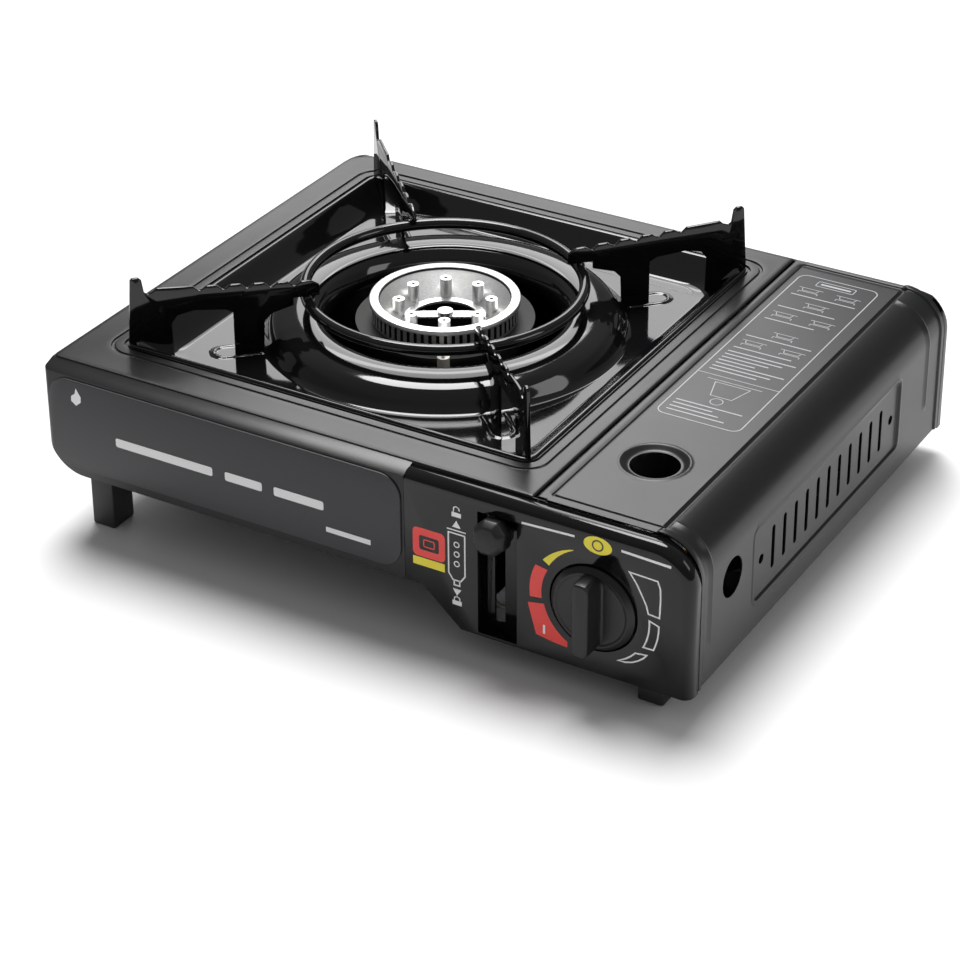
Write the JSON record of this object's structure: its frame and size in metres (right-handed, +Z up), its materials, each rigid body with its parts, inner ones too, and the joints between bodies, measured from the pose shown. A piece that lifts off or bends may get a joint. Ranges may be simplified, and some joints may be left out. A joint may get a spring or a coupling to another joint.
{
  "type": "camping stove",
  "caption": "Low table-top stove: square pan support over a round burner, a lidded cartridge bay at the right, a rotary knob and a sliding lock lever in front.",
  "frame": {"origin": "on the table, under the middle of the whole stove", "axes": "+X to the right of a cook who faces the controls, +Y to the rear, +Z up"},
  "size_m": [0.343, 0.292, 0.1227],
  "materials": {
    "satin_black_steel": "satin black powder coat",
    "gloss_black_enamel": "mirror-glossy black enamel",
    "label_grey": "satin dark grey print on a raised plate",
    "gloss_black_panel": "glossy black with coloured marks",
    "black_plastic": "satin moulded black plastic",
    "foot_plastic": "matt moulded plastic",
    "bright_aluminium": "turned and brushed",
    "dark_cast": "heat-darkened",
    "galvanised_steel": "zinc plated sheet",
    "bright_steel": "plated",
    "zinc_casting": "as cast",
    "brass": "drawn",
    "white_ceramic": "glazed",
    "igniter_plastic": "moulded",
    "lead_jacket": "soft wire jacket"
  },
  "bodies": {
    "stove": {"body_shell": "satin_black_steel", "top_plate": "satin_black_steel", "label_plate": "label_grey", "control_panel": "gloss_black_panel", "partition": "galvanised_steel", "foot_front_left": "foot_plastic", "foot_rear_left": "foot_plastic", "foot_front_right": "foot_plastic", "foot_rear_right": "foot_plastic", "burner_base": "dark_cast", "burner_crown": "bright_aluminium", "burner_bowl": "bright_aluminium", "burner_posts": "bright_aluminium", "burner_crossbar": "bright_steel", "burner_screw": "bright_steel", "mixing_tube": "galvanised_steel", "injector": "brass", "burner_bracket": "galvanised_steel", "electrode_clip": "galvanised_steel", "electrode_ceramic": "white_ceramic", "electrode_tip": "bright_steel", "regulator_body": "zinc_casting", "regulator_cover": "bright_steel", "cartridge_inlet": "brass", "regulator_bracket": "galvanised_steel", "cartridge_stop": "galvanised_steel", "gas_pipe": "brass", "igniter_body": "igniter_plastic", "ignition_lead": "lead_jacket", "lever_bracket": "galvanised_steel", "lever_pin": "bright_steel", "rod_guide": "galvanised_steel", "cradle_front": "galvanised_steel", "cradle_rear": "galvanised_steel", "lid_hinge_wire": "bright_steel", "floor_screws": "bright_steel"},
    "lid": {"bay_lid": "satin_black_steel"},
    "knob": {"control_knob": "black_plastic", "valve_stem": "brass", "igniter_cam": "black_plastic"},
    "plunger": {"igniter_plunger": "white_ceramic"},
    "lever": {"lever_arm": "galvanised_steel", "lever_knob": "black_plastic"},
    "pusher": {"link_rod": "galvanised_steel", "pusher_plate": "galvanised_steel"},
    "pan_support": {"drip_tray": "gloss_black_enamel", "trivet_ring": "gloss_black_enamel", "trivet_arm_1": "gloss_black_enamel", "trivet_arm_2": "gloss_black_enamel", "trivet_arm_3": "gloss_black_enamel", "trivet_arm_4": "gloss_black_enamel"}
  },
  "joints": [
    {"name": "lid_hinge", "type": "hinge", "parent": "stove", "child": "lid", "pos_m": [0.0919, 0.0103, 0.0858], "axis": [0, -1, 0], "range_deg": [0, 100]},
    {"name": "knob_turn", "type": "hinge", "parent": "stove", "child": "knob", "pos_m": [0.1238, -0.133, 0.0462], "axis": [0, -1, 0], "range_deg": [0, 150]},
    {"name": "plunger_slide", "type": "slide", "parent": "stove", "child": "plunger", "axis": [1, 0, 0], "range_m": [0, 0.004]},
    {"name": "lever_pivot", "type": "hinge", "parent": "stove", "child": "lever", "pos_m": [0.0732, -0.0155, 0.048], "axis": [1, 0, 0], "range_deg": [0, 17]},
    {"name": "pusher_slide", "type": "slide", "parent": "stove", "child": "pusher", "axis": [0, -1, 0], "range_m": [0, 0.006]},
    {"name": "pan_support_lift", "type": "slide", "parent": "stove", "child": "pan_support", "axis": [0, 0, 1], "range_m": [0, 0.06]}
  ],
  "couplings": [
    {"joint": "plunger_slide", "follows": "knob_turn", "m_per_rad": 0.001524},
    {"joint": "pusher_slide", "follows": "lever_pivot", "m_per_rad": 0.019548}
  ]
}
